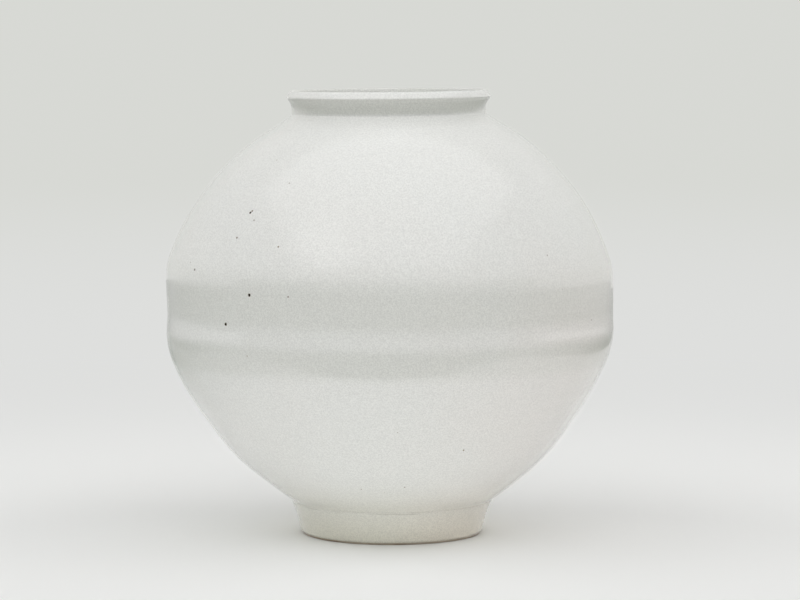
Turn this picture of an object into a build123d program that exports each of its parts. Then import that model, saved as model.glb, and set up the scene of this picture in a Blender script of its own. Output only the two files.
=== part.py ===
from build123d import *
import os

os.makedirs("parts", exist_ok=True)

# A large round white porcelain jar. Two wheel-thrown bowls are luted rim to rim at the waist. A thrown
# collar is luted on as neck and lip, and a thrown ring as foot. A soft coil is pressed over the seam
# inside. A thin glaze covers everything but the edge that the jar stands on.
# Origin: centre of the foot's standing edge. +Z is up. Lengths are in millimetres.

# Foot ring
foot_height = 34.2
foot_radius = 91.0
foot_spread = 10.6
foot_flare_share = 0.16  # sideways run of the outer face for each unit of rise, where it leaves the table
foot_land_width = 8.0
foot_top_width = 15.0
foot_bevel = 1.5

# Slip that lutes one piece on the next
slip_thickness = 0.8

# Waist, where the two bowls meet
waist_radius = 224.2
waist_taper = 0.7
waist_wall = 7.0

# Lower bowl. A reach share runs from the foot's top radius (0) to the waist's radius (1), and a rise
# share from the bowl's base (0) to its rim (1).
lower_bowl_height = 171.0
belly_reach_share = 0.620
belly_rise_share = 0.409
belly_wall = 9.0
haunch_reach_share = 0.946
haunch_rise_share = 0.807
haunch_wall = 7.5
waist_low_rise_share = 0.982
floor_thickness = 13.0
floor_inset = 13.6
floor_fillet = 34.0

# Upper bowl. A reach share runs from the neck's root (0) to the waist's radius (1), and a rise share
# from the bowl's rim (0) to its top (1).
upper_bowl_height = 214.2
waist_high_rise_share = 0.229
crown_reach_share = 0.972
crown_rise_share = 0.334
crown_wall = 6.5
shoulder_reach_share = 0.186
shoulder_rise_share = 0.924
shoulder_wall = 6.2

# Mouth collar: neck and lip
collar_height = 22.7
neck_radius = 96.4
neck_wall = 7.0
neck_lean_share = -0.06  # sideways run of the neck's outer face for each unit of rise, at its root
lip_overhang = 5.6
lip_face_height = 6.0
lip_face_set = 4.0
lip_crest_width = 4.0
lip_edge_fillet = 0.7
lip_crest_fillet = 1.8
mouth_flare = 2.4
mouth_fillet = 4.0

# Coil pressed over the seam inside, smoothed to a low ridge
coil_height = 28.0
coil_stand = 5.0

# Glaze
glaze_thickness = 0.5
bare_edge = 2.0

# Cuts run past what they cut by this much
overrun = 10.0

# Heights of the luting planes, from the table up
bowl_base = foot_height + slip_thickness
lower_rim = bowl_base + lower_bowl_height
upper_rim = lower_rim + slip_thickness
upper_top = upper_rim + upper_bowl_height
collar_base = upper_top + slip_thickness
lip_top = collar_base + collar_height

# Foot and floor
foot_top_radius = foot_radius + foot_spread
foot_bore = foot_radius - foot_land_width
foot_bore_top = foot_top_radius - foot_top_width
land_radius = foot_radius - foot_land_width / 2
floor_top = bowl_base + floor_thickness
floor_radius = foot_top_radius - floor_inset

# Outer stations of the two bowls, each a radius and a height
waist_low = (waist_radius - waist_taper, bowl_base + lower_bowl_height * waist_low_rise_share)
waist_high = (waist_radius, upper_rim + upper_bowl_height * waist_high_rise_share)
lower_spread = waist_low[0] - foot_top_radius
upper_spread = waist_radius - neck_radius
haunch_station = (
    foot_top_radius + lower_spread * haunch_reach_share,
    bowl_base + lower_bowl_height * haunch_rise_share,
)
belly_station = (
    foot_top_radius + lower_spread * belly_reach_share,
    bowl_base + lower_bowl_height * belly_rise_share,
)
crown_station = (
    neck_radius + upper_spread * crown_reach_share,
    upper_rim + upper_bowl_height * crown_rise_share,
)
shoulder_station = (
    neck_radius + upper_spread * shoulder_reach_share,
    upper_rim + upper_bowl_height * shoulder_rise_share,
)

# Seam coil: the chord that its face bulges from, and its middle height
coil_radius = waist_radius - waist_wall
seam_height = (lower_rim + upper_rim) / 2

# Neck and lip
mouth_radius = neck_radius - neck_wall
lip_edge = (neck_radius + lip_overhang, lip_top - lip_face_height)
crest_outer = (lip_edge[0] - lip_face_set, lip_top)
crest_inner = (crest_outer[0] - lip_crest_width, lip_top)
crest_radius = (crest_outer[0] + crest_inner[0]) / 2
cut_reach = waist_radius + overrun


def inside(point, heading, wall):
    """The point a wall's thickness in from an outline that climbs along heading at point."""
    return point + Vector(-heading.Y, heading.X).normalized() * wall


def corner(sketch, point):
    """The corner of a sketch that lies nearest to a point."""
    return sketch.vertices().sort_by_distance(point)[0]


# Sections are drawn with the radius across and the height up. This one is the jar filled solid.
with BuildSketch() as outline:
    with BuildLine():
        land = Line((0, 0), (foot_radius, 0))
        foot_face = TangentArc(
            land @ 1, (foot_top_radius, bowl_base), tangent=(foot_flare_share, 1)
        )
        waist = Line(waist_low, waist_high)
        haunch = TangentArc(waist @ 0, haunch_station, tangent=waist % 0 * -1)
        belly = TangentArc(haunch @ 1, belly_station, tangent=haunch % 1)
        tuck = TangentArc(belly @ 1, foot_face @ 1, tangent=belly % 1)
        crown = TangentArc(waist @ 1, crown_station, tangent=waist % 1)
        dome = TangentArc(crown @ 1, shoulder_station, tangent=crown % 1)
        shoulder = TangentArc(dome @ 1, (neck_radius, upper_top), tangent=dome % 1)
        root = Line(shoulder @ 1, (neck_radius, collar_base))
        neck = TangentArc(root @ 1, lip_edge, tangent=(neck_lean_share, 1))
        Polyline(neck @ 1, crest_outer, (0, lip_top), (0, 0))
    make_face()
    chamfer(corner(outline, (foot_radius, 0)), foot_bevel)
    fillet(corner(outline, lip_edge), lip_edge_fillet)
    fillet(corner(outline, crest_outer), lip_crest_fillet)

# The space that the jar holds, from its floor out through the mouth, and above the lip's inner half.
with BuildSketch() as hollow:
    with BuildLine():
        waist_in = Line(
            inside(waist @ 0, waist % 0, waist_wall), inside(waist @ 1, waist % 1, waist_wall)
        )
        haunch_in = TangentArc(
            waist_in @ 0, inside(haunch @ 1, haunch % 1 * -1, haunch_wall), tangent=waist_in % 0 * -1
        )
        belly_in = TangentArc(
            haunch_in @ 1, inside(belly @ 1, belly % 1 * -1, belly_wall), tangent=haunch_in % 1
        )
        tuck_in = TangentArc(belly_in @ 1, (floor_radius, floor_top), tangent=belly_in % 1)
        crown_in = TangentArc(
            waist_in @ 1, inside(crown @ 1, crown % 1, crown_wall), tangent=waist_in % 1
        )
        dome_in = TangentArc(
            crown_in @ 1, inside(dome @ 1, dome % 1, shoulder_wall), tangent=crown_in % 1
        )
        # The shoulder runs straight on to the hole that was cut for the mouth.
        shoulder_run = (dome_in @ 1).X - mouth_radius
        shoulder_in = Line(
            dome_in @ 1, dome_in @ 1 + dome_in % 1 * (shoulder_run / -(dome_in % 1).X)
        )
        bore = Line(shoulder_in @ 1, (mouth_radius, collar_base))
        flare = TangentArc(bore @ 1, (mouth_radius + mouth_flare, lip_edge[1]), tangent=(0, 1))
        Polyline(
            flare @ 1, crest_inner, (crest_radius, lip_top), (crest_radius, lip_top + overrun),
            (0, lip_top + overrun), (0, floor_top), tuck_in @ 1,
        )
    make_face()
    fillet(corner(hollow, (floor_radius, floor_top)), floor_fillet)
    fillet(corner(hollow, shoulder_in @ 1), mouth_fillet)
    fillet(corner(hollow, crest_inner), lip_crest_fillet)

# The recess inside the foot ring, and the space below the inner half of the foot's edge.
with BuildSketch() as recess:
    with BuildLine():
        Polyline(
            (0, bowl_base), (foot_bore_top, bowl_base), (foot_bore, 0), (land_radius, 0),
            (land_radius, -overrun), (0, -overrun), close=True,
        )
    make_face()
    chamfer(corner(recess, (foot_bore, 0)), foot_bevel)

# All the clay but the coil.
with BuildSketch() as clay:
    add(outline.sketch_local)
    add(hollow.sketch_local, mode=Mode.SUBTRACT)
    add(recess.sketch_local, mode=Mode.SUBTRACT)

# The coil, a low ridge whose back is the wall.
with BuildSketch() as coil:
    with BuildLine():
        coil_face = ThreePointArc(
            (coil_radius, seam_height + coil_height / 2),
            (coil_radius - coil_stand, seam_height),
            (coil_radius, seam_height - coil_height / 2),
        )
        Line(coil_face @ 1, coil_face @ 0)
    make_face()
    add(hollow.sketch_local, mode=Mode.INTERSECT)

# The clay and the coil grown by the glaze's thickness.
with BuildSketch() as glazed:
    add(clay.sketch_local)
    add(coil.sketch_local)
    offset(amount=glaze_thickness, kind=Kind.ARC)


def band(low, high):
    """Keep what lies between two heights of the section being drawn."""
    with Locations((0, low)):
        Rectangle(cut_reach, high - low, align=(Align.MIN, Align.MIN), mode=Mode.INTERSECT)


# Foot ring, thrown as a ring.
with BuildPart() as foot_ring:
    with BuildSketch(Plane.XZ):
        add(clay.sketch_local)
        band(0, foot_height)
    revolve(axis=Axis.Z)
foot_ring.part.label = "foot_ring"
export_step(foot_ring.part, "parts/foot_ring.step")

# Slip between the foot ring and the lower bowl.
with BuildPart() as foot_slip:
    with BuildSketch(Plane.XZ):
        add(clay.sketch_local)
        band(foot_height, bowl_base)
    revolve(axis=Axis.Z)
foot_slip.part.label = "foot_slip"
export_step(foot_slip.part, "parts/foot_slip.step")

# Lower bowl, with the jar's floor.
with BuildPart() as lower_bowl:
    with BuildSketch(Plane.XZ):
        add(clay.sketch_local)
        band(bowl_base, lower_rim)
    revolve(axis=Axis.Z)
lower_bowl.part.label = "lower_bowl"
export_step(lower_bowl.part, "parts/lower_bowl.step")

# Slip between the two bowls' rims.
with BuildPart() as waist_slip:
    with BuildSketch(Plane.XZ):
        add(clay.sketch_local)
        band(lower_rim, upper_rim)
    revolve(axis=Axis.Z)
waist_slip.part.label = "waist_slip"
export_step(waist_slip.part, "parts/waist_slip.step")

# Upper bowl, thrown rim up and turned over, with its base cut open for the mouth.
with BuildPart() as upper_bowl:
    with BuildSketch(Plane.XZ):
        add(clay.sketch_local)
        band(upper_rim, upper_top)
    revolve(axis=Axis.Z)
upper_bowl.part.label = "upper_bowl"
export_step(upper_bowl.part, "parts/upper_bowl.step")

# Coil pressed over the seam inside.
with BuildPart() as seam_coil:
    with BuildSketch(Plane.XZ):
        add(coil.sketch_local)
    revolve(axis=Axis.Z)
seam_coil.part.label = "seam_coil"
export_step(seam_coil.part, "parts/seam_coil.step")

# Slip under the collar.
with BuildPart() as collar_slip:
    with BuildSketch(Plane.XZ):
        add(clay.sketch_local)
        band(upper_top, collar_base)
    revolve(axis=Axis.Z)
collar_slip.part.label = "collar_slip"
export_step(collar_slip.part, "parts/collar_slip.step")

# Mouth collar: a short neck that ends in a sloping lip.
with BuildPart() as mouth_collar:
    with BuildSketch(Plane.XZ):
        add(clay.sketch_local)
        band(collar_base, lip_top)
    revolve(axis=Axis.Z)
mouth_collar.part.label = "mouth_collar"
export_step(mouth_collar.part, "parts/mouth_collar.step")

# Glaze over the outside, from just above the table to the crest of the lip.
with BuildPart() as outer_glaze:
    with BuildSketch(Plane.XZ):
        add(glazed.sketch_local)
        add(outline.sketch_local, mode=Mode.SUBTRACT)
        add(hollow.sketch_local, mode=Mode.SUBTRACT)
        add(recess.sketch_local, mode=Mode.SUBTRACT)
        band(bare_edge, lip_top + overrun)
    revolve(axis=Axis.Z)
outer_glaze.part.label = "outer_glaze"
export_step(outer_glaze.part, "parts/outer_glaze.step")

# Glaze over the inside, from the crest of the lip down over the coil and the floor.
with BuildPart() as inner_glaze:
    with BuildSketch(Plane.XZ):
        add(glazed.sketch_local)
        add(hollow.sketch_local, mode=Mode.INTERSECT)
        add(coil.sketch_local, mode=Mode.SUBTRACT)
    revolve(axis=Axis.Z)
inner_glaze.part.label = "inner_glaze"
export_step(inner_glaze.part, "parts/inner_glaze.step")

# Glaze under the base, down to just above the table inside the foot ring.
with BuildPart() as base_glaze:
    with BuildSketch(Plane.XZ):
        add(glazed.sketch_local)
        add(recess.sketch_local, mode=Mode.INTERSECT)
        band(bare_edge, bowl_base)
    revolve(axis=Axis.Z)
base_glaze.part.label = "base_glaze"
export_step(base_glaze.part, "parts/base_glaze.step")
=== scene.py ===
import math

import bpy
import numpy as np
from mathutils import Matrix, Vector


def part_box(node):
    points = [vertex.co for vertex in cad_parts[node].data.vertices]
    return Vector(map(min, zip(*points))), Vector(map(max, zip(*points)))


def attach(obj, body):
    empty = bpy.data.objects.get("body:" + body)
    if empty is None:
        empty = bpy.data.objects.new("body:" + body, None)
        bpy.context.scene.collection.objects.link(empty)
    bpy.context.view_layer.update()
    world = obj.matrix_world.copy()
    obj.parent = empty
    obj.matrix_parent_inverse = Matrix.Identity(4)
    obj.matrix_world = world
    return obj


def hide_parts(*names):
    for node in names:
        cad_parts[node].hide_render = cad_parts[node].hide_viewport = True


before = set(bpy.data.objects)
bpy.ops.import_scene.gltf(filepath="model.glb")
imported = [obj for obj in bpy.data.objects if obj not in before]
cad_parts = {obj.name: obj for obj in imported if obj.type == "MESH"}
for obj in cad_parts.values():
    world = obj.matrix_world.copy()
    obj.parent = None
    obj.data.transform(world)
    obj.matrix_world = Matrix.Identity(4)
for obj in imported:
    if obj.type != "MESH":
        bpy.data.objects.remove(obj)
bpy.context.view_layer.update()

# Lower bowl. Thrown rim up on the wheel from white porcelain clay, with the jar's floor, and trimmed when
# it was leather hard. Once fired, the clay is dense and cream white. Glaze hides all of it.
MM = 0.001
bowl_base, lower_rim = (corner.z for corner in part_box("lower_bowl"))
upper_rim, upper_top = (corner.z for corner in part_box("upper_bowl"))
foot_top_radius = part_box("foot_slip")[1].x
waist_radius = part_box("upper_bowl")[1].x
waist_taper, waist_wall = 0.7 * MM, 7 * MM
waist_low_share, waist_high_share = 0.982, 0.229
belly_reach_share, belly_rise_share = 0.620, 0.409
haunch_reach_share, haunch_rise_share = 0.946, 0.807
belly_wall, haunch_wall = 9 * MM, 7.5 * MM
floor_thickness, floor_inset, floor_fillet = 13 * MM, 13.6 * MM, 34 * MM
FLOOR_FILLET_STEPS, WALL_PAST_FILLET = 40, 12
SAME_POINT = 0.001 * MM


def arc(start, heading, end, steps=60):
    """The arc from start to end that leaves along heading, and its heading at the end. A point of a section
    is a complex number: its radius plus i times its height. Let a be the angle from the heading to the
    chord. The point at share t lies sin(a t) / sin(a) chords from the start, at the angle a t from the
    heading."""
    chord = end - start
    a = np.angle(chord / heading)
    t = np.linspace(0, 1, steps)
    reach = abs(chord) * t * np.sinc(a * t / np.pi) / np.sinc(a / np.pi)
    return start + reach * heading * np.exp(1j * a * t), heading * np.exp(2j * a)


def rounded(before, corner, after, radius, steps=12):
    """The arc of a radius that touches both sides of a corner. It starts and ends at the distance
    radius * tan(half the turn) from the corner."""
    along = (corner - before) / abs(corner - before)
    away = (after - corner) / abs(after - corner)
    cut = radius * abs(math.tan(np.angle(away / along) / 2))
    return arc(corner - along * cut, along, corner + away * cut, steps)[0]


def joined(*runs):
    """The runs of an outline one after another, without the points that repeat."""
    points = np.concatenate([np.atleast_1d(np.asarray(run, complex)) for run in runs])
    return points[np.append(True, np.abs(np.diff(points)) > SAME_POINT)]


def between(outline, low, high):
    """The part of a rising outline between two heights."""
    kept = outline[(outline.imag > low) & (outline.imag < high)]
    ends = np.interp([low, high], outline.imag, outline.real) + 1j * np.array([low, high])
    return joined(ends[0], kept, ends[1])


def strung(outline, rows, crowding=6 * MM):
    """Rows of points along an outline, spaced evenly by its length plus crowding times the angle that it
    turns by at the end of each step."""
    step = np.diff(outline)
    turn = np.abs(np.angle(step[1:] / step[:-1]))
    measure = np.append(0, np.cumsum(np.abs(step) + crowding * np.append(turn, 0)))
    share = np.linspace(0, measure[-1], rows)
    return np.interp(share, measure, outline.real) + 1j * np.interp(share, measure, outline.imag)


bowl_height, bowl_foot = lower_rim - bowl_base, foot_top_radius + 1j * bowl_base
waist_low = waist_radius - waist_taper + 1j * (bowl_base + bowl_height * waist_low_share)
waist_high = waist_radius + 1j * (upper_rim + (upper_top - upper_rim) * waist_high_share)
waist_heading = (waist_high - waist_low) / abs(waist_high - waist_low)
bowl_reach = (waist_low - bowl_foot).real
haunch = bowl_foot + haunch_reach_share * bowl_reach + 1j * haunch_rise_share * bowl_height
belly = bowl_foot + belly_reach_share * bowl_reach + 1j * belly_rise_share * bowl_height


def lower_outline(foot, wall_share=0):
    """The lower bowl's outline, from its foot up through three tangent arcs to the top of the waist. It is
    the outer face, or with a wall_share of 1 the inner one, a wall's thickness to the left at each
    station."""
    inward = 1j * wall_share
    _, haunch_heading = arc(waist_low, -waist_heading, haunch)
    _, belly_heading = arc(haunch, haunch_heading, belly)
    high_run, heading = arc(waist_low + inward * waist_heading * waist_wall, -waist_heading,
                            haunch - inward * haunch_heading * haunch_wall)
    middle_run, heading = arc(high_run[-1], heading, belly - inward * belly_heading * belly_wall)
    low_run, _ = arc(middle_run[-1], heading, foot)
    top = waist_high + inward * waist_heading * waist_wall
    return joined(low_run[::-1], middle_run[::-1], high_run[::-1], top)


floor_middle = 1j * (bowl_base + floor_thickness)
floor_corner = floor_middle + foot_top_radius - floor_inset
lower_outside = lower_outline(bowl_foot)
lower_wall = lower_outline(floor_corner, 1)
floor_turn = rounded(
    floor_middle, floor_corner, lower_wall[WALL_PAST_FILLET], floor_fillet, FLOOR_FILLET_STEPS
)
lower_inside = joined(floor_turn, lower_wall[lower_wall.imag > floor_turn[-1].imag])

# How the clay moved in the making and the kiln: a height, and how far it moved there, in mm. It drifted to
# the right and swelled outwards.
DRIFT = np.array([
    (0, 1.6), (45, 1.9), (80, 0.8), (120, 0.0), (157, -0.5), (218, 0.6), (285, -1.2), (350, 0.0),
    (408, 1.6), (424, -1.2), (445, -1.1),
]) * MM
SWELL = np.array([
    (0, 0.0), (30, 0.0), (52, -1.3), (82, 0.3), (112, -0.7), (150, 0.0), (202, -0.4), (222, -1.0),
    (262, -0.75), (318, -0.6), (345, -0.5), (378, -0.6), (396, 0.2), (445, 0.0),
]) * MM
SEAM_HEIGHT, SEAM_ABOVE, SEAM_BELOW = 207 * MM, 7.5 * MM, 15 * MM
SEAM_RISE, SEAM_UNEVEN = 0.68 * MM, 0.32 * MM
SEAM_TURN, SEAM_THIRD_SHARE = 2.8, 0.3
OVAL = 0.7 * MM
LUMP, LUMPS = 0.10 * MM, 18
LUMP_SEED, LUMP_TURN_RANGE, LUMP_WAVE_RANGE = 5, (1, 7), (8, 45)
THROWING_RISE, THROWING_PITCH = 0.035 * MM, 13 * MM
MOUTH_TILT, MOUTH_SINK = math.radians(0.5), 0.88 * MM
TILT_FROM, TILT_FULL = 390 * MM, 436 * MM
AXIS_FADE = 80 * MM
lump_chance = np.random.default_rng(LUMP_SEED)
lump_turns = lump_chance.integers(*LUMP_TURN_RANGE, LUMPS)
lump_waves = lump_chance.uniform(*LUMP_WAVE_RANGE, LUMPS)
lump_phases = lump_chance.uniform(0, 2 * np.pi, (2, LUMPS))


def eased(height, table):
    """A table's value at each height, which starts and stops smoothly at each height in the table."""
    place = np.clip(np.searchsorted(table[:, 0], height) - 1, 0, len(table) - 2)
    low, high = table[place], table[place + 1]
    t = np.clip((height - low[..., 0]) / (high[..., 0] - low[..., 0]), 0, 1)
    return low[..., 1] + (high[..., 1] - low[..., 1]) * t * t * (3 - 2 * t)


def settled(section, turn):
    """The surface (radius cos turn, radius sin turn, height), moved as the clay moved. The axis drifts
    sideways with height. The radius swells and sinks in gentle waves, in an oval, at the seam, in low lumps
    and by the throwing spiral, all of which fades out toward the axis. The mouth sinks and tilts."""
    radius, height = section.real[:, None] + 0 * turn, section.imag[:, None] + 0 * turn
    turn = turn + 0 * height
    swell = eased(height, SWELL) + OVAL * np.sin(2 * turn) * np.sin(np.pi * np.clip(height / upper_top, 0, 1))
    seam_wave = np.cos(2 * turn + SEAM_TURN) + SEAM_THIRD_SHARE * np.sin(3 * turn)
    seam = SEAM_RISE + SEAM_UNEVEN * seam_wave
    spread = np.where(height > SEAM_HEIGHT, SEAM_ABOVE, SEAM_BELOW)
    swell += seam * np.exp(-(((height - SEAM_HEIGHT) / spread) ** 2))
    for turns, wave, across, along in zip(lump_turns, lump_waves, *lump_phases):
        swell += LUMP * np.cos(turns * turn + across) * np.cos(wave * height + along)
    swell += THROWING_RISE * np.cos(2 * np.pi * height / THROWING_PITCH - turn)
    radius = radius + swell * np.clip(radius / AXIS_FADE, 0, 1)
    x, y = radius * np.cos(turn) + eased(height, DRIFT), radius * np.sin(turn)
    share = np.clip((height - TILT_FROM) / (TILT_FULL - TILT_FROM), 0, 1)
    z = height + (x * math.tan(MOUTH_TILT) - MOUTH_SINK) * share * share * (3 - 2 * share)
    return np.stack([x, y, z], axis=-1)


def thrown(name, section, columns, on_axis=False):
    """A closed surface of turning. Each point of the section, which runs counterclockwise with the radius to
    the right, is carried round the axis in so many columns. The section closes on itself or, on_axis, begins
    and ends on the axis, where a fan of triangles meets in one point."""
    grid = settled(section, np.linspace(0, 2 * np.pi, columns, endpoint=False))
    rows = len(section)
    index = np.arange(rows * columns).reshape(rows, columns)
    if on_axis:
        grid[[0, -1]] = grid[[0, -1]].mean(axis=1, keepdims=True)
        index[0], index[1:-1], index[-1] = 0, index[1:-1] - columns + 1, (rows - 2) * columns + 1
        points = np.concatenate([grid[0, :1], grid[1:-1].reshape(-1, 3), grid[-1, :1]])
        near, far = index[:-1], index[1:]
    else:
        points = grid.reshape(-1, 3)
        near, far = index, np.roll(index, -1, axis=0)
    quads = np.stack([near, np.roll(near, -1, axis=1), np.roll(far, -1, axis=1), far], axis=-1)
    faces = quads.reshape(-1, 4).tolist()
    if on_axis:
        faces = quads[1:-1].reshape(-1, 4).tolist()
        faces += quads[0][:, [0, 2, 3]].tolist() + quads[-1][:, [0, 1, 2]].tolist()
    mesh = bpy.data.meshes.new(name)
    mesh.from_pydata(points.tolist(), [], faces)
    mesh.shade_smooth()
    piece = bpy.data.objects.new(name, mesh)
    bpy.context.scene.collection.objects.link(piece)
    return piece


def seated(piece, node, material):
    """Gives a finished piece its material, and its place on the jar in the stead of its node."""
    piece.data.materials.append(material)
    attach(piece, "root")
    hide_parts(node)


def wired(tree, kind, settings=None, **sockets):
    """A new node of a kind in a tree. Settings are its own properties. A socket takes a value, or another
    node's output as a link. Its name has _ for a space, or is _ and its number."""
    node = tree.nodes.new(kind)
    for key, value in (settings or {}).items():
        setattr(node, key, value)
    for key, value in sockets.items():
        socket = node.inputs[int(key[1:]) if key[1:].isdigit() else key.replace("_", " ")]
        if isinstance(value, bpy.types.NodeSocket):
            tree.links.new(value, socket)
        else:
            socket.default_value = value
    return node


def worked(tree, operation, first, second=0.0):
    """The output of one Math node."""
    return wired(tree, "ShaderNodeMath", {"operation": operation}, _0=first, _1=second).outputs[0]


def mixed(tree, share, first, second, blend="MIX"):
    """The output of a Mix node between two colours."""
    settings = {"data_type": "RGBA", "blend_type": blend}
    return wired(tree, "ShaderNodeMix", settings, _0=share, _6=first, _7=second).outputs[2]


def noise(tree, place, scale, detail=2.0, roughness=0.5):
    """The output of a Noise texture whose features are about 1 / scale metres wide."""
    node = wired(
        tree, "ShaderNodeTexNoise", Vector=place, Scale=scale, Detail=detail, Roughness=roughness
    )
    return node.outputs[0]


def ramped(tree, value, low, high, start=0.0, end=1.0):
    """A value eased from start, where it is low, to end, where it is high."""
    node = wired(
        tree, "ShaderNodeMapRange", {"interpolation_type": "SMOOTHSTEP"},
        Value=value, From_Min=low, From_Max=high, To_Min=start, To_Max=end,
    )
    return node.outputs[0]


def group(name, takes, gives):
    """A new shader node group: its tree, the outputs of its input node, and the inputs of its output node."""
    tree = bpy.data.node_groups.new(name, "ShaderNodeTree")
    for socket, kind, value in takes:
        tree.interface.new_socket(socket, in_out="INPUT", socket_type=kind).default_value = value
    for socket, kind in gives:
        tree.interface.new_socket(socket, in_out="OUTPUT", socket_type=kind)
    return tree, tree.nodes.new("NodeGroupInput").outputs, tree.nodes.new("NodeGroupOutput").inputs


SKIN = [("Color", "NodeSocketColor"), ("Roughness", "NodeSocketFloat"), ("Height", "NodeSocketFloat")]
SCORCH_PATCHES, SCORCH_FROM, SCORCH_FULL = 45, 0.45, 0.75
CLAY_GRIT, CLAY_SMOOTH, CLAY_ROUGH = 1400, 0.75, 0.92
clay, clay_in, clay_out = group(
    "fired_clay",
    [
        ("Body", "NodeSocketColor", (0.78, 0.74, 0.67, 1)),
        ("Scorch", "NodeSocketColor", (0.62, 0.53, 0.43, 1)),
    ],
    SKIN,
)
clay_place = wired(clay, "ShaderNodeTexCoord").outputs["Object"]
clay_patch = ramped(clay, noise(clay, clay_place, SCORCH_PATCHES, 4), SCORCH_FROM, SCORCH_FULL)
clay_grit = noise(clay, clay_place, CLAY_GRIT, 3, 0.7)
clay.links.new(mixed(clay, clay_patch, clay_in["Body"], clay_in["Scorch"]), clay_out["Color"])
clay.links.new(ramped(clay, clay_grit, 0.3, 0.7, CLAY_SMOOTH, CLAY_ROUGH), clay_out["Roughness"])
clay.links.new(clay_grit, clay_out["Height"])


def surfaced(name, skin, bump_depth, colours=None, **sockets):
    """A material whose colour, roughness and bump come from a skin group with colours of its own. The
    shader's other sockets are plain values."""
    material = bpy.data.materials.new(name)
    material.use_nodes = True
    tree = material.node_tree
    shader = tree.nodes["Principled BSDF"]
    made = wired(tree, "ShaderNodeGroup", {"node_tree": skin}, **(colours or {}))
    bump = wired(tree, "ShaderNodeBump", Distance=bump_depth, Height=made.outputs["Height"])
    tree.links.new(made.outputs["Color"], shader.inputs["Base Color"])
    tree.links.new(made.outputs["Roughness"], shader.inputs["Roughness"])
    tree.links.new(bump.outputs["Normal"], shader.inputs["Normal"])
    for key, value in sockets.items():
        shader.inputs[key.replace("_", " ")].default_value = value
    return material


COVERED_COLUMNS, COVERED_ROWS = 128, 60
porcelain = surfaced("bare_porcelain", clay, 0.06 * MM, IOR=1.5)
bowl_section = joined(
    1j * bowl_base,
    strung(between(lower_outside, bowl_base, lower_rim), COVERED_ROWS),
    strung(between(lower_inside, floor_middle.imag, lower_rim), COVERED_ROWS)[::-1],
    floor_middle,
)
lower_bowl = thrown("lower_bowl_clay", bowl_section, COVERED_COLUMNS, on_axis=True)
seated(lower_bowl, "lower_bowl", porcelain)

# Waist slip. Thin clay, brushed on the lower bowl's rim to stick the upper bowl down. Fired, it is one with
# the two rims but for a faint ridge outside.
slip = surfaced(
    "fired_slip", clay, 0.03 * MM, {"Body": (0.80, 0.77, 0.71, 1), "Scorch": (0.74, 0.69, 0.60, 1)},
    IOR=1.5,
)
waist_section = joined(
    between(lower_outside, lower_rim, upper_rim), between(lower_inside, lower_rim, upper_rim)[::-1]
)
waist_slip = thrown("waist_slip_layer", waist_section, COVERED_COLUMNS)
seated(waist_slip, "waist_slip", slip)

# Upper bowl. Thrown like the lower one, a little deeper, and turned over on it when both had stiffened. Its
# base was then cut open for the mouth. White porcelain under glaze.
neck_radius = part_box("collar_slip")[1].x
collar_base, lip_top = (corner.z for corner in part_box("mouth_collar"))
crown_reach_share, crown_rise_share = 0.972, 0.334
shoulder_reach_share, shoulder_rise_share = 0.186, 0.924
crown_wall, shoulder_wall = 6.5 * MM, 6.2 * MM
neck_wall, mouth_fillet = 7 * MM, 4 * MM
upper_height, neck_root = upper_top - upper_rim, neck_radius + 1j * upper_top
dome_base, dome_reach = neck_radius + 1j * upper_rim, waist_radius - neck_radius
crown = dome_base + crown_reach_share * dome_reach + 1j * crown_rise_share * upper_height
shoulder = dome_base + shoulder_reach_share * dome_reach + 1j * shoulder_rise_share * upper_height
mouth_radius = neck_radius - neck_wall
crown_run, crown_heading = arc(waist_high, waist_heading, crown)
dome_run, dome_heading = arc(crown, crown_heading, shoulder)
shoulder_run, _ = arc(shoulder, dome_heading, neck_root)
upper_outside = joined(waist_low, crown_run, dome_run, shoulder_run)
crown_in_run, heading = arc(lower_inside[-1], waist_heading, crown + 1j * crown_heading * crown_wall)
dome_in_run, heading = arc(crown_in_run[-1], heading, shoulder + 1j * dome_heading * shoulder_wall)
bore_foot = dome_in_run[-1] + heading * (mouth_radius - dome_in_run[-1].real) / heading.real
bore_turn = rounded(dome_in_run[-1], bore_foot, mouth_radius + 1j * collar_base, mouth_fillet)
upper_inside = joined(
    lower_inside[-2], crown_in_run, dome_in_run, bore_turn, mouth_radius + 1j * collar_base
)
upper_section = joined(
    strung(between(upper_outside, upper_rim, upper_top), COVERED_ROWS),
    strung(between(upper_inside, upper_rim, upper_top), COVERED_ROWS)[::-1],
)
upper_bowl = thrown("upper_bowl_clay", upper_section, COVERED_COLUMNS)
seated(upper_bowl, "upper_bowl", porcelain)

# Seam coil. A soft rope of porcelain clay. The potter reached in through the mouth, pressed it over the seam
# and smoothed it to a low ridge, so that the joint would hold.
coil_height, coil_stand = 28 * MM, 5 * MM
seam_middle = (lower_rim + upper_rim) / 2
coil_low, coil_high = (
    waist_radius - waist_wall + 1j * (seam_middle + side * coil_height / 2) for side in (-1, 1)
)
coil_tilt = 2 * math.atan(2 * coil_stand / coil_height)
coil_face, _ = arc(coil_low, 1j * np.exp(1j * coil_tilt), coil_high)
wall_in = joined(lower_inside, crown_in_run)
stands = coil_face.real < np.interp(coil_face.imag, wall_in.imag, wall_in.real)
coil_face = coil_face[stands]
coil_back = between(wall_in, coil_face[0].imag, coil_face[-1].imag)
coil_section = joined(coil_back, coil_face[-2:0:-1])
seam_coil = thrown("seam_coil_ridge", coil_section, COVERED_COLUMNS)
seated(seam_coil, "seam_coil", porcelain)

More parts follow.
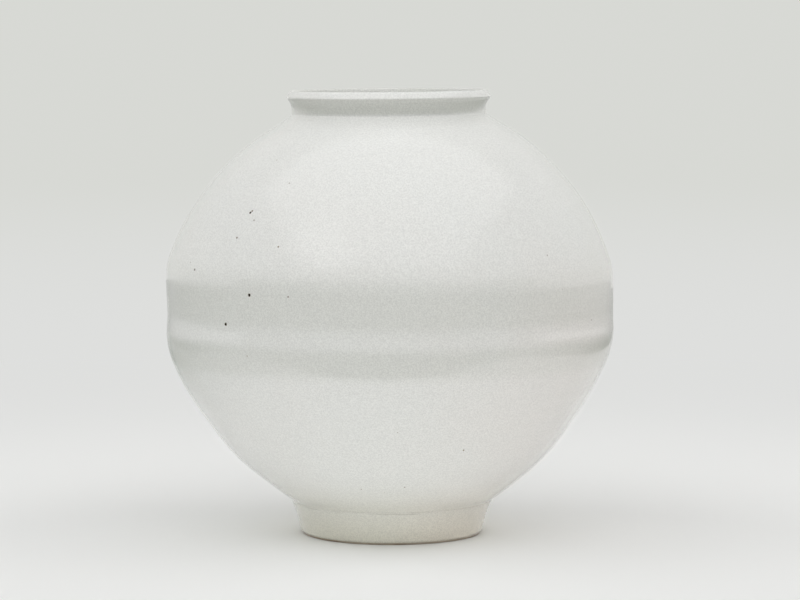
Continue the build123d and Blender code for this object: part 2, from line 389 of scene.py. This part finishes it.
# Foot ring. Thrown as a ring, stuck on under the lower bowl and trimmed, with a bevel on both sides of its
# standing edge. That edge was wiped free of glaze, and there the bare clay fired warm brown.
foot_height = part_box("foot_ring")[1].z
foot_radius, foot_flare_share = 91 * MM, 0.16
foot_land_width, foot_top_width, foot_bevel = 8 * MM, 15 * MM, 1.5 * MM
foot_bore, foot_bore_top = foot_radius - foot_land_width, foot_top_radius - foot_top_width
flare_heading = (foot_flare_share + 1j) / abs(foot_flare_share + 1j)
foot_face, _ = arc(foot_radius + 0j, flare_heading, bowl_foot)
foot_outside = joined(foot_radius - foot_bevel, between(foot_face, foot_bevel, bowl_base))
bore_line = np.array([foot_bore, foot_bore_top + 1j * bowl_base])
foot_inside = joined(foot_bore + foot_bevel, between(bore_line, foot_bevel, bowl_base))
FOOT_COLUMNS, FOOT_FACE_ROWS, FOOT_BORE_ROWS = 256, 40, 20
scorched = surfaced(
    "scorched_porcelain", clay, 0.08 * MM, {"Body": (0.62, 0.53, 0.43, 1), "Scorch": (0.42, 0.31, 0.22, 1)},
    IOR=1.5,
)
foot_section = joined(
    strung(between(foot_outside, 0, foot_height), FOOT_FACE_ROWS),
    strung(between(foot_inside, 0, foot_height), FOOT_BORE_ROWS)[::-1],
)
foot_ring = thrown("foot_ring_clay", foot_section, FOOT_COLUMNS)
seated(foot_ring, "foot_ring", scorched)

# Foot slip. Thin clay, the same as at the waist, brushed between the lower bowl's base and the foot ring to
# stick the ring on. It shows through the glaze as a fine line.
slip_section = joined(
    between(foot_outside, foot_height, bowl_base), between(foot_inside, foot_height, bowl_base)[::-1]
)
foot_slip = thrown("foot_slip_layer", slip_section, COVERED_COLUMNS)
seated(foot_slip, "foot_slip", slip)

# Collar slip. The same thin clay, brushed round the cut mouth of the upper bowl to stick the collar on. The
# glaze that gathers at the neck's root hides it.
root_line = np.array([neck_root, neck_radius + 1j * collar_base])
collar_slip_section = joined(root_line, (root_line - neck_wall)[::-1])
collar_slip = thrown("collar_slip_layer", collar_slip_section, COVERED_COLUMNS)
seated(collar_slip, "collar_slip", slip)

# Mouth collar. Thrown as a ring: a short neck that leans out into a lip, whose face slopes back in to a
# narrow crest. White porcelain under glaze.
neck_lean_share = -0.06
lip_overhang, lip_face_height, lip_face_set = 5.6 * MM, 6 * MM, 4 * MM
lip_crest_width, mouth_flare = 4 * MM, 2.4 * MM
lip_edge_fillet, lip_crest_fillet = 0.7 * MM, 1.8 * MM
lip_edge = neck_radius + lip_overhang + 1j * (lip_top - lip_face_height)
crest_outer = lip_edge.real - lip_face_set + 1j * lip_top
crest_inner = crest_outer - lip_crest_width
crest_middle = (crest_outer + crest_inner) / 2
lean_heading = (neck_lean_share + 1j) / abs(neck_lean_share + 1j)
neck_face, _ = arc(neck_radius + 1j * collar_base, lean_heading, lip_edge)
lip_turn = rounded(neck_face[-2], lip_edge, crest_outer, lip_edge_fillet)
crest_turn = rounded(lip_edge, crest_outer, crest_inner, lip_crest_fillet)
collar_outside = joined(
    neck_root, neck_face[neck_face.imag < lip_turn[0].imag], lip_turn, crest_turn, crest_middle
)
flare_run, _ = arc(mouth_radius + 1j * collar_base, 1j, mouth_radius + mouth_flare + 1j * lip_edge.imag)
inner_crest_turn = rounded(flare_run[-1], crest_inner, crest_outer, lip_crest_fillet)
collar_inside = joined(flare_run, inner_crest_turn, crest_middle)
collar_section = joined(
    neck_face[0], strung(collar_outside[1:], COVERED_ROWS), strung(collar_inside, COVERED_ROWS)[::-1]
)
mouth_collar = thrown("mouth_collar_clay", collar_section, COVERED_COLUMNS)
seated(mouth_collar, "mouth_collar", porcelain)

# Outer glaze. A thin milky glass, poured over the outside and fired on. It is clear enough to show the white
# clay, gathers in the corners at the neck's root and over the foot, and has small iron specks.
glaze_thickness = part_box("outer_glaze")[1].z - lip_top
bare_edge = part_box("outer_glaze")[0].z
NECK_POOL, FOOT_POOL = 0.9 * MM, 6 * MM
GLAZE_COLUMNS, GLAZE_ROWS, GLAZE_BACK_ROWS = 320, 250, 50


def grown(outline, amount):
    """The outline moved by amount to the right of its own direction."""
    heading = np.gradient(outline)
    return outline - 1j * amount * heading / np.abs(heading)


foot_pool = rounded(foot_face[-2], bowl_foot, lower_outside[1], FOOT_POOL)
neck_pool = rounded(shoulder_run[-2], neck_root, neck_face[0], NECK_POOL)
outside = joined(
    between(foot_face, bare_edge, foot_pool[0].imag),
    foot_pool,
    between(lower_outside, foot_pool[-1].imag, waist_high.imag),
    between(upper_outside, waist_high.imag, neck_pool[0].imag),
    neck_pool,
    collar_outside[collar_outside.imag > neck_pool[-1].imag],
)
glaze_face = grown(outside, glaze_thickness)
glaze_face[0], glaze_face[-1] = glaze_face[0].real + 1j * bare_edge, crest_middle + 1j * glaze_thickness
clay_face = joined(
    between(foot_face, bare_edge, bowl_base),
    between(lower_outside, bowl_base, waist_high.imag),
    upper_outside[1:],
    collar_outside,
)
glaze_section = joined(strung(glaze_face, GLAZE_ROWS), strung(clay_face, GLAZE_BACK_ROWS)[::-1])
outer_glaze = thrown("outer_glaze_coat", glaze_section, GLAZE_COLUMNS)

glaze, glaze_in, glaze_out = group(
    "milky_glaze",
    [
        ("Milk", "NodeSocketColor", (0.890, 0.896, 0.870, 1)),
        ("Thin", "NodeSocketColor", (0.894, 0.894, 0.866, 1)),
        # Grey, for painted shade on the neck and the waist, and for glaze gathered on the neck.
        ("Pooled and shaded", "NodeSocketColor", (0.70, 0.708, 0.652, 1)),
        # Pink, for painted warm light on the right side of the jar.
        ("Warm lit", "NodeSocketColor", (0.90, 0.868, 0.835, 1)),
        # Yellower glaze toward the foot.
        ("Yellowed", "NodeSocketColor", (0.905, 0.885, 0.765, 1)),
        # Warmer still, for painted warm light on the right side of the foot.
        ("Warm lit foot", "NodeSocketColor", (0.95, 0.885, 0.765, 1)),
        ("Pool and shade", "NodeSocketFloat", 0.0),
        ("Speck", "NodeSocketFloat", 0.0),
    ],
    SKIN,
)
glaze_place = wired(glaze, "ShaderNodeTexCoord").outputs["Object"]
glaze_at = wired(glaze, "ShaderNodeSeparateXYZ", _0=glaze_place).outputs
GLAZE_CLOUDS, CLOUD_LOW, CLOUD_HIGH = 7, 0.35, 0.65
glaze_cloud = noise(glaze, glaze_place, GLAZE_CLOUDS, 3)
glaze_tone = mixed(
    glaze, ramped(glaze, glaze_cloud, CLOUD_LOW, CLOUD_HIGH), glaze_in["Milk"], glaze_in["Thin"]
)

# Painted warm light: the right side of the jar is tinted faintly pink below the shoulder, and the right of
# the foot is warmer still, as though a warm lamp stood at the right. The glaze also turns yellower toward the
# foot. Each change is full at one place across or up the jar and gone at another.
WARM_LIGHT_WANDER, WARM_LIGHT_FROM, WARM_LIGHT_FULL = 120 * MM, 80 * MM, 260 * MM
WARM_LIGHT_TOP, WARM_LIGHT_LOW = 320 * MM, 220 * MM
YELLOWING_FROM, YELLOWING_FULL = 78 * MM, -8 * MM
WARM_FOOT_FROM, WARM_FOOT_FULL = -20 * MM, 75 * MM
warm_light_side = worked(glaze, "ADD", glaze_at["X"], worked(glaze, "MULTIPLY", glaze_cloud, WARM_LIGHT_WANDER))
warm_light_height = ramped(glaze, glaze_at["Z"], WARM_LIGHT_TOP, WARM_LIGHT_LOW)
warm_light_patch = worked(glaze, "MULTIPLY", ramped(glaze, warm_light_side, WARM_LIGHT_FROM, WARM_LIGHT_FULL), warm_light_height)
glaze_tone = mixed(glaze, warm_light_patch, glaze_tone, glaze_in["Warm lit"])
# The glaze turns yellower toward the foot.
foot_yellowing = ramped(glaze, glaze_at["Z"], YELLOWING_FROM, YELLOWING_FULL)
# Painted warm light: toward its right side the foot takes the warmer colour.
warm_foot_light = ramped(glaze, glaze_at["X"], WARM_FOOT_FROM, WARM_FOOT_FULL)
foot_yellow_and_warm_light = mixed(glaze, warm_foot_light, glaze_in["Yellowed"], glaze_in["Warm lit foot"])
glaze_tone = mixed(glaze, foot_yellowing, glaze_tone, foot_yellow_and_warm_light)
glaze_tone = mixed(glaze, glaze_in["Pool and shade"], glaze_tone, glaze_in["Pooled and shaded"])

# The joint under the foot slip shows through as a fine broken line.
JOINT_HEIGHT, JOINT_WIDTH, JOINT_WAVER = 31.9 * MM, 0.5 * MM, 1.2 * MM
JOINT_WAVES, JOINT_BREAKS, JOINT_GONE, JOINT_WHOLE = 12, 35, 0.38, 0.58
JOINT_END, JOINT_CLEAR = 60 * MM, 25 * MM
JOINT_TONE, JOINT_STRENGTH, JOINT_CREASE = (0.45, 0.43, 0.36, 1), 0.30, 0.25
waver = worked(glaze, "SUBTRACT", noise(glaze, glaze_place, JOINT_WAVES, 3), 0.5)
waver = worked(glaze, "MULTIPLY", waver, JOINT_WAVER)
off_joint = worked(glaze, "ADD", glaze_at["Z"], worked(glaze, "SUBTRACT", waver, JOINT_HEIGHT))
off_joint = worked(glaze, "ABSOLUTE", off_joint)
broken = ramped(glaze, noise(glaze, glaze_place, JOINT_BREAKS, 2), JOINT_GONE, JOINT_WHOLE)
broken = worked(glaze, "MULTIPLY", broken, ramped(glaze, glaze_at["X"], JOINT_END, JOINT_CLEAR))
joint = worked(glaze, "MULTIPLY", ramped(glaze, off_joint, 1.6 * JOINT_WIDTH, 0.4 * JOINT_WIDTH), broken)
glaze_tone = mixed(glaze, worked(glaze, "MULTIPLY", joint, JOINT_STRENGTH), glaze_tone, JOINT_TONE)

# A fine grain in the glass, of two sizes together. It dims the colour by 15% at most and brightens it by 2%.
GRAIN, FINE_GRAIN, GRAIN_FROM, GRAIN_TO = 600, 1400, 0.75, 1.25
GRAIN_DIM, GRAIN_BRIGHT = 0.85, 1.02
grain = noise(glaze, glaze_place, GRAIN, 2, 0.7)
grain = worked(glaze, "ADD", grain, noise(glaze, glaze_place, FINE_GRAIN, 1))
grain_tone = ramped(glaze, grain, GRAIN_FROM, GRAIN_TO, GRAIN_DIM, GRAIN_BRIGHT)
grain_grey = wired(
    glaze, "ShaderNodeCombineColor", Red=grain_tone, Green=grain_tone, Blue=grain_tone
).outputs[0]
glaze_tone = mixed(glaze, 1.0, glaze_tone, grain_grey, "MULTIPLY")

# Specks all over, at most one to a cell: most cells have none, and the specks here are faint.
SPECK_CELLS, SPECK_RADIUS, SPECK_CORE = 60, 0.55 * MM, 0.4
SPECKLESS_SHARE, SPECK_STRENGTH = 0.6, 0.45
cells = wired(glaze, "ShaderNodeTexVoronoi", Vector=glaze_place, Scale=SPECK_CELLS)
cell_chance = wired(glaze, "ShaderNodeSeparateColor", Color=cells.outputs["Color"]).outputs[0]
scattered = worked(
    glaze, "MULTIPLY", worked(glaze, "GREATER_THAN", cell_chance, SPECKLESS_SHARE),
    ramped(
        glaze, cells.outputs["Distance"], SPECK_RADIUS * SPECK_CELLS,
        SPECK_CORE * SPECK_RADIUS * SPECK_CELLS,
    ),
)
speck = worked(glaze, "MAXIMUM", worked(glaze, "MULTIPLY", scattered, SPECK_STRENGTH), glaze_in["Speck"])
RUST, IRON, IRON_FROM = (0.15, 0.075, 0.015, 1), (0.020, 0.014, 0.010, 1), 0.8
glaze_tone = mixed(glaze, speck, glaze_tone, RUST)
glaze.links.new(mixed(glaze, ramped(glaze, speck, IRON_FROM, 1.0), glaze_tone, IRON), glaze_out["Color"])

# The surface of fired glaze: orange peel drawn out along the throwing lines, and finer ripples.
PEEL, RIPPLE, RIPPLE_SHARE, PEEL_STRETCH = 190, 620, 0.3, 2.2
LINES, LINE_STRETCH, LINE_SHARE = 22, 9, 1.2
LINES_FROM, LINES_FULL = 200 * MM, 250 * MM
GLAZE_SMOOTH, GLAZE_ROUGH = 0.20, 0.27
peel_place = wired(
    glaze, "ShaderNodeVectorMath", {"operation": "MULTIPLY"}, _0=glaze_place, _1=(1, 1, PEEL_STRETCH)
).outputs[0]
orange_peel = noise(glaze, peel_place, PEEL, 2, 0.5)
fine_ripple = noise(glaze, peel_place, RIPPLE, 2, 0.5)
line_place = wired(
    glaze, "ShaderNodeVectorMath", {"operation": "MULTIPLY"}, _0=glaze_place, _1=(1, 1, LINE_STRETCH)
).outputs[0]
throwing_lines = worked(
    glaze, "MULTIPLY", noise(glaze, line_place, LINES, 3, 0.6),
    ramped(glaze, glaze_at["Z"], LINES_FROM, LINES_FULL),
)
glaze_height = worked(glaze, "ADD", orange_peel, worked(glaze, "MULTIPLY", fine_ripple, RIPPLE_SHARE))
glaze_height = worked(glaze, "ADD", glaze_height, worked(glaze, "MULTIPLY", throwing_lines, LINE_SHARE))
sunk = worked(glaze, "ADD", speck, worked(glaze, "MULTIPLY", joint, JOINT_CREASE))
glaze.links.new(worked(glaze, "SUBTRACT", glaze_height, sunk), glaze_out["Height"])
glaze_gloss = ramped(glaze, glaze_cloud, CLOUD_LOW, CLOUD_HIGH, GLAZE_SMOOTH, GLAZE_ROUGH)
glaze.links.new(glaze_gloss, glaze_out["Roughness"])

# One of the larger iron specks: a ragged spot, fainter where it is small, laid over the spots before it.
IRON_GRAIN, IRON_RAGGED, IRON_RIM, IRON_HEART = 900, 0.8, 1.7, 1.1
IRON_FULL = 1.15 * MM
iron, iron_in, iron_out = group(
    "iron_speck",
    [
        ("Place", "NodeSocketVector", (0, 0, 0)), ("Radius", "NodeSocketFloat", 1 * MM),
        ("Before", "NodeSocketFloat", 0.0),
    ],
    [("Speck", "NodeSocketFloat")],
)
iron_place = wired(iron, "ShaderNodeTexCoord").outputs["Object"]
iron_gap = wired(iron, "ShaderNodeVectorMath", {"operation": "DISTANCE"}, _0=iron_place, _1=iron_in["Place"])
iron_rough = worked(iron, "MULTIPLY", noise(iron, iron_place, IRON_GRAIN, 1), IRON_RAGGED)
iron_share = worked(iron, "DIVIDE", iron_gap.outputs["Value"], iron_in["Radius"])
iron_depth = worked(iron, "MINIMUM", worked(iron, "DIVIDE", iron_in["Radius"], IRON_FULL), 1.0)
iron_mask = ramped(iron, worked(iron, "ADD", iron_share, iron_rough), IRON_RIM, IRON_HEART)
iron_mask = worked(iron, "MULTIPLY", iron_mask, iron_depth)
iron.links.new(worked(iron, "MAXIMUM", iron_mask, iron_in["Before"]), iron_out["Speck"])

# Where they lie: the angle round the jar from its right side, in degrees, the height and the radius, in mm.
SPECKS = [
    (-126.1, 254.2, 1.5), (-134.5, 224.4, 1.6), (-132.6, 330.0, 1.3), (-132.2, 331.8, 1.0),
    (-130.0, 323.4, 0.8), (-119.3, 300.2, 0.9), (-147.3, 273.5, 1.1), (-133.7, 306.6, 1.0),
    (-150.5, 279.7, 0.6), (-115.0, 254.3, 0.8), (-127.2, 195.8, 0.7), (-123.2, 358.4, 0.7),
    (-135.3, 378.8, 0.7), (-45.2, 289.8, 0.7), (-28.7, 223.6, 0.7), (-66.3, 103.3, 0.9),
    (-87.7, 124.2, 0.6), (-84.6, 64.6, 0.8), (-102.1, 61.8, 0.7), (-39.9, 39.0, 0.9),
    (35.0, 265.0, 1.1), (72.0, 318.0, 0.9), (118.0, 240.0, 1.2), (150.0, 150.0, 0.8),
    (100.0, 96.0, 1.0),
]
porcelain_glaze = surfaced(
    "porcelain_glaze", glaze, 0.15 * MM, IOR=1.5, Coat_Weight=1.0, Coat_Roughness=0.06
)
glaze_tree = porcelain_glaze.node_tree
glaze_skin = next(node for node in glaze_tree.nodes if node.type == "GROUP")
found = 0.0
for degrees, height, reach in SPECKS:
    rising = np.interp(height * MM, glaze_face.imag, glaze_face.real)
    place = settled(np.array([rising + 1j * height * MM]), np.array([math.radians(degrees)]))[0, 0]
    spot = wired(
        glaze_tree, "ShaderNodeGroup", {"node_tree": iron},
        Place=place.tolist(), Radius=reach * MM, Before=found,
    )
    found = spot.outputs["Speck"]
glaze_tree.links.new(found, glaze_skin.inputs["Speck"])


def pooled_and_shaded(piece, section, columns, bands):
    """Writes on each vertex how grey the glaze is there: painted shade, and on the neck also glaze that has
    gathered. A band is a share, the heights it lies between before the clay settled, and the lengths over
    which it fades at its lower and upper end. Where bands overlap, the larger share holds."""
    pool_and_shade = 0 * section.imag
    for share, low, high, fade_in, fade_out in bands:
        inside = np.minimum((section.imag - low) / fade_in, (high - section.imag) / fade_out)
        inside = np.clip(inside + 0.5, 0, 1)
        pool_and_shade = np.maximum(pool_and_shade, share * inside * inside * (3 - 2 * inside))
    attribute = piece.data.attributes.new("pool_and_shade", "FLOAT", "POINT")
    attribute.data.foreach_set("value", np.repeat(pool_and_shade, columns).astype(np.float32))


# Painted shade: the neck under the lip, and a band above and a band below the seam round the waist, are
# greyed. On the neck the grey also stands for gathered glaze.
pooled_and_shaded(
    outer_glaze, glaze_section, GLAZE_COLUMNS,
    [
        (0.55, collar_base + 1.5 * MM, lip_edge.imag - 0.4 * MM, 1.5 * MM, 1.5 * MM),
        (0.26, 224 * MM, 270 * MM, 12 * MM, 50 * MM),
        (0.28, 176 * MM, 203 * MM, 14 * MM, 9 * MM),
    ],
)
pool_and_shade = wired(glaze_tree, "ShaderNodeAttribute", {"attribute_name": "pool_and_shade"}).outputs["Fac"]
glaze_tree.links.new(pool_and_shade, glaze_skin.inputs["Pool and shade"])
seated(outer_glaze, "outer_glaze", porcelain_glaze)

# Inner glaze. The same glass, swilled round the inside and poured out, so it lies over the floor and the coil
# too. It is duller than outside, and meets the outer glaze on the crest of the lip.
INNER_COLUMNS, INNER_ROWS, INNER_BACK_ROWS = 256, 180, 60
wall_low = between(joined(lower_inside, crown_in_run), floor_middle.imag, coil_face[0].imag)
wall_high = between(upper_inside, coil_face[-1].imag, collar_base)
lining = joined(floor_middle, wall_low, coil_face[1:-1], wall_high, collar_inside)
lining_face = grown(lining, -glaze_thickness)
lining_face[0], lining_face[-1] = floor_middle + 1j * glaze_thickness, crest_middle + 1j * glaze_thickness
inner_glaze = thrown(
    "inner_glaze_coat",
    joined(strung(lining, INNER_BACK_ROWS), strung(lining_face, INNER_ROWS)[::-1]),
    INNER_COLUMNS, on_axis=True,
)
lining_glaze = surfaced("lining_glaze", glaze, 0.06 * MM, {"Milk": (0.84, 0.85, 0.80, 1)}, IOR=1.5)
seated(inner_glaze, "inner_glaze", lining_glaze)

# Base glaze. The same glass under the jar, inside the foot ring, down to the wiped edge. The point half way
# out in the clay's outline keeps its rows close together toward the corner.
BASE_ROWS, BASE_BACK_ROWS, base_fillet = 40, 30, 3 * MM
bore = between(foot_inside, bare_edge, bowl_base)
half_way_out = foot_bore_top / 2 + 1j * bowl_base
recess_clay = joined(1j * bowl_base, half_way_out, bore[::-1])
base_corner = foot_bore_top - glaze_thickness + 1j * (bowl_base - glaze_thickness)
recess_face = joined(
    1j * base_corner.imag,
    rounded(1j * base_corner.imag, base_corner, bore[0] - glaze_thickness, base_fillet),
    bore[0] - glaze_thickness,
)
base_glaze = thrown(
    "base_glaze_coat",
    joined(strung(recess_face, BASE_ROWS), strung(recess_clay, BASE_BACK_ROWS)[::-1]),
    FOOT_COLUMNS, on_axis=True,
)
base_finish = surfaced("base_glaze", glaze, 0.08 * MM, {"Milk": (0.76, 0.76, 0.70, 1)}, IOR=1.5)
seated(base_glaze, "base_glaze", base_finish)

# Floor. A plain pale sheet, matt where the jar stands. Far off it fades to the background's tone for the rays
# that show the background, and stays matt for the rest.
FLOOR_REACH, NEAR, FAR = 60.0, 0.5, 1.7
FLOOR_COLOUR = (0.86, 0.864, 0.85, 1)
HAZE_NEAR, HAZE_FAR = (0.735, 0.74, 0.73, 1), (0.684, 0.693, 0.662, 1)
HAZE_FROM, HAZE_TO = 0.9, 7.6


def sheeted(name, sheets, material):
    """A stage piece of flat sheets, each given by its four corners."""
    mesh = bpy.data.meshes.new(name)
    faces = np.arange(4 * len(sheets)).reshape(-1, 4).tolist()
    mesh.from_pydata([corner for sheet in sheets for corner in sheet], [], faces)
    mesh.materials.append(material)
    piece = bpy.data.objects.new(name, mesh)
    bpy.context.scene.collection.objects.link(piece)
    return piece


def seen(tree):
    """1 for the rays that show the background: straight from the camera, by gloss or through glass."""
    path = wired(tree, "ShaderNodeLightPath").outputs
    straight = worked(tree, "ADD", path["Is Camera Ray"], path["Is Glossy Ray"])
    return worked(tree, "MINIMUM", worked(tree, "ADD", straight, path["Is Transmission Ray"]), 1.0)


floor_paint = bpy.data.materials.new("pale_floor")
floor_paint.use_nodes = True
tree = floor_paint.node_tree
tree.nodes.clear()
floor_spot = wired(tree, "ShaderNodeTexCoord").outputs["Object"]
distance = wired(tree, "ShaderNodeVectorMath", {"operation": "LENGTH"}, _0=floor_spot).outputs["Value"]
haze_tone = mixed(tree, ramped(tree, distance, HAZE_FROM, HAZE_TO), HAZE_NEAR, HAZE_FAR)
haze = wired(tree, "ShaderNodeEmission", Color=haze_tone)
matt = wired(tree, "ShaderNodeBsdfDiffuse", Color=FLOOR_COLOUR)
hazy = worked(tree, "MULTIPLY", ramped(tree, distance, NEAR, FAR), seen(tree))
cover = wired(tree, "ShaderNodeMixShader", _0=hazy, _1=matt.outputs[0], _2=haze.outputs[0])
wired(tree, "ShaderNodeOutputMaterial", Surface=cover.outputs[0])
FLOOR_CORNERS = ((-1, -1), (1, -1), (1, 1), (-1, 1))
corners = [(side * FLOOR_REACH, back * FLOOR_REACH, 0) for side, back in FLOOR_CORNERS]
sheeted("floor", [corners], floor_paint)

# Room. What the glaze mirrors: the table ends in front of the jar and at its sides, and past it the room's
# floor and the foot of its walls are dim. Only gloss shows it: the camera sees none of it, and it casts no
# light or shadow on matt surfaces.
TABLE_FRONT, TABLE_LEFT, TABLE_RIGHT = -0.386, -0.93, 0.70
SHADE_FROM, SHADE_TO, SHADE_LEFT, SHADE_RIGHT = 0.22, 0.60, 0.65, 0.25
ROOM_REACH, ROOM_BACK, DIM_FADE, FLOOR_GAP = 8.0, 3.0, 2.2, 0.001
WALL_RADIUS, WALL_HEIGHT, WALL_DIM, WALL_PALE = 7.0, 3.0, 0.2, 3.0
DIM, DIM_BEHIND = (0.07, 0.11, 0.06, 1), (0.45, 0.46, 0.44, 1)
dim_floor_paint = bpy.data.materials.new("dim_floor")
dim_floor_paint.use_nodes = True
tree = dim_floor_paint.node_tree
tree.nodes.clear()
from_below = wired(tree, "ShaderNodeNewGeometry").outputs["Backfacing"]
dim_spot = wired(tree, "ShaderNodeTexCoord").outputs["Object"]
floor_at = wired(tree, "ShaderNodeSeparateXYZ", _0=dim_spot).outputs
tone = mixed(tree, ramped(tree, floor_at["Y"], 0.0, DIM_FADE), DIM, DIM_BEHIND)
on_table = worked(
    tree, "MULTIPLY", worked(tree, "GREATER_THAN", floor_at["X"], TABLE_LEFT),
    worked(tree, "LESS_THAN", floor_at["X"], TABLE_RIGHT),
)
on_table = worked(tree, "MULTIPLY", on_table, worked(tree, "GREATER_THAN", floor_at["Y"], TABLE_FRONT))
# Painted shade seen only in the gloss: the table itself dims toward the jar's left and right, more on the
# left.
shaded = worked(
    tree, "MAXIMUM", ramped(tree, floor_at["X"], -SHADE_FROM, -SHADE_TO, 0.0, SHADE_LEFT),
    ramped(tree, floor_at["X"], SHADE_FROM, SHADE_TO, 0.0, SHADE_RIGHT),
)
table_share = worked(tree, "MULTIPLY", on_table, worked(tree, "SUBTRACT", 1.0, shaded))
clear = worked(tree, "MAXIMUM", from_below, table_share)
cover = wired(
    tree, "ShaderNodeMixShader", _0=clear, _1=wired(tree, "ShaderNodeEmission", Color=tone).outputs[0],
    _2=wired(tree, "ShaderNodeBsdfTransparent").outputs[0],
)
wired(tree, "ShaderNodeOutputMaterial", Surface=cover.outputs[0])
reaches = [
    (-ROOM_REACH, ROOM_REACH, -ROOM_REACH, TABLE_FRONT),
    (-ROOM_REACH, -SHADE_FROM, TABLE_FRONT, ROOM_BACK),
    (SHADE_FROM, ROOM_REACH, TABLE_FRONT, ROOM_BACK),
]
dim_floor = sheeted(
    "dim_floor",
    [[(x, y, FLOOR_GAP) for x, y in ((left, front), (right, front), (right, back), (left, back))]
     for left, right, front, back in reaches],
    dim_floor_paint,
)
WALL_FROM, WALL_TO, WALL_SHEETS = -170, -10, 32
wall_paint = bpy.data.materials.new("dim_wall")
wall_paint.use_nodes = True
tree = wall_paint.node_tree
tree.nodes.clear()
wall_spot = wired(tree, "ShaderNodeTexCoord").outputs["Object"]
wall_at = wired(tree, "ShaderNodeSeparateXYZ", _0=wall_spot).outputs
tone = mixed(tree, ramped(tree, wall_at["Z"], WALL_DIM, WALL_PALE), DIM, HAZE_FAR)
wired(tree, "ShaderNodeOutputMaterial", Surface=wired(tree, "ShaderNodeEmission", Color=tone).outputs[0])
wall_turns = np.radians(np.linspace(WALL_FROM, WALL_TO, WALL_SHEETS + 1))
wall = np.stack([WALL_RADIUS * np.cos(wall_turns), WALL_RADIUS * np.sin(wall_turns)], axis=-1).tolist()
dim_wall = sheeted(
    "dim_wall",
    [[(*one, 0), (*other, 0), (*other, WALL_HEIGHT), (*one, WALL_HEIGHT)]
     for one, other in zip(wall, wall[1:])],
    wall_paint,
)
for piece in (dim_floor, dim_wall):
    piece.visible_camera = piece.visible_diffuse = piece.visible_shadow = False

# World. The room's own light on matt surfaces, as soft patches of the sky: a strength, then the sines of the
# heights and the depths, from -1 in front to 1 behind, that the patch lies between. The camera and the gloss
# see the background's tone instead.
ROOM_PATCHES = [
    (0.58, -0.15, 0.21, -1.20, -0.50), (0.56, -0.15, 0.21, 0.50, 1.20), (2.60, 0.21, 0.50, 0.50, 1.20),
    (1.45, 0.50, 0.82, -1.20, -0.50), (1.90, 0.50, 0.82, -0.50, 0.50), (0.42, 0.82, 1.20, -1.20, 1.20),
]
PATCH_BLUR, OVER_ONE = 0.08, 1.001
world = bpy.data.worlds.new("studio")
bpy.context.scene.world = world
world.use_nodes = True
tree = world.node_tree
way = wired(
    tree, "ShaderNodeSeparateXYZ", _0=wired(tree, "ShaderNodeTexCoord").outputs["Generated"]
).outputs
level = worked(tree, "SUBTRACT", OVER_ONE, worked(tree, "MULTIPLY", way["Z"], way["Z"]))
behind = worked(tree, "DIVIDE", way["Y"], worked(tree, "SQRT", level))


def patched(tree, value, low, high):
    """1 where a value lies between low and high, eased over a blur at both."""
    rising = ramped(tree, value, low - PATCH_BLUR, low + PATCH_BLUR)
    return worked(tree, "MULTIPLY", rising, ramped(tree, value, high + PATCH_BLUR, high - PATCH_BLUR))


room = 0.0
for strength, low, high, near, far in ROOM_PATCHES:
    patch = worked(tree, "MULTIPLY", patched(tree, way["Z"], low, high), patched(tree, behind, near, far))
    room = worked(tree, "ADD", room, worked(tree, "MULTIPLY", patch, strength))
tone = mixed(tree, seen(tree), room, HAZE_FAR)
tree.links.new(tone, tree.nodes["Background"].inputs["Color"])

# Light. A large soft box hangs over the jar and a little in front of it, and faces down. A smaller one at its
# left shows only in the glaze. A low panel before the foot is the light that the table throws up.
BOX_WIDTH, BOX_DEPTH, BOX_RADIANCE, BOX_PLACE = 2.9, 2.5, 0.42, (0, -0.75, 1.75)
BOUNCE_WIDTH, BOUNCE_DEPTH, BOUNCE_RADIANCE, BOUNCE_PLACE = 0.9, 0.40, 0.18, (0, -0.305, 0.003)
SMALL_WIDTH, SMALL_DEPTH, SMALL_RADIANCE, SMALL_PLACE = 1.1, 1.2, 0.40, (-1.2, -1.4, 1.74)
DOWN, UP = Vector((0, 0, -1)), Vector((0, 0, 1))


def area_light(name, width, depth, place, facing, radiance):
    """A rectangle that shines evenly with a radiance, and that the camera doesn't see."""
    lamp = bpy.data.lights.new(name, "AREA")
    lamp.shape, lamp.size, lamp.size_y = "RECTANGLE", width, depth
    lamp.energy = radiance * math.pi * width * depth
    light = bpy.data.objects.new(name, lamp)
    light.location = place
    light.rotation_euler = facing.to_track_quat("-Z", "Y").to_euler()
    light.visible_camera = False
    bpy.context.scene.collection.objects.link(light)
    return light


area_light("soft_box", BOX_WIDTH, BOX_DEPTH, BOX_PLACE, DOWN, BOX_RADIANCE)
bounce = area_light("bounce", BOUNCE_WIDTH, BOUNCE_DEPTH, BOUNCE_PLACE, UP, BOUNCE_RADIANCE)
bounce.visible_glossy = False
small_box = area_light("small_box", SMALL_WIDTH, SMALL_DEPTH, SMALL_PLACE, DOWN, SMALL_RADIANCE)
small_box.visible_diffuse = False

# Camera. A long lens at some distance, a little higher than the lip and tipped down, which gives the
# photograph's view.
LENS, SENSOR_WIDTH, FAR_CLIP = 144, 36, 200
CAMERA_PLACE, CAMERA_TIP = (0.010, -3.200, 0.512), 4.97
camera = bpy.data.objects.new("camera", bpy.data.cameras.new("camera"))
camera.data.lens, camera.data.sensor_width = LENS, SENSOR_WIDTH
camera.data.clip_end = FAR_CLIP
camera.location = CAMERA_PLACE
camera.rotation_euler = (math.radians(90 - CAMERA_TIP), 0, 0)
bpy.context.scene.collection.objects.link(camera)
bpy.context.scene.camera = camera
bpy.context.scene.view_settings.view_transform = "Standard"
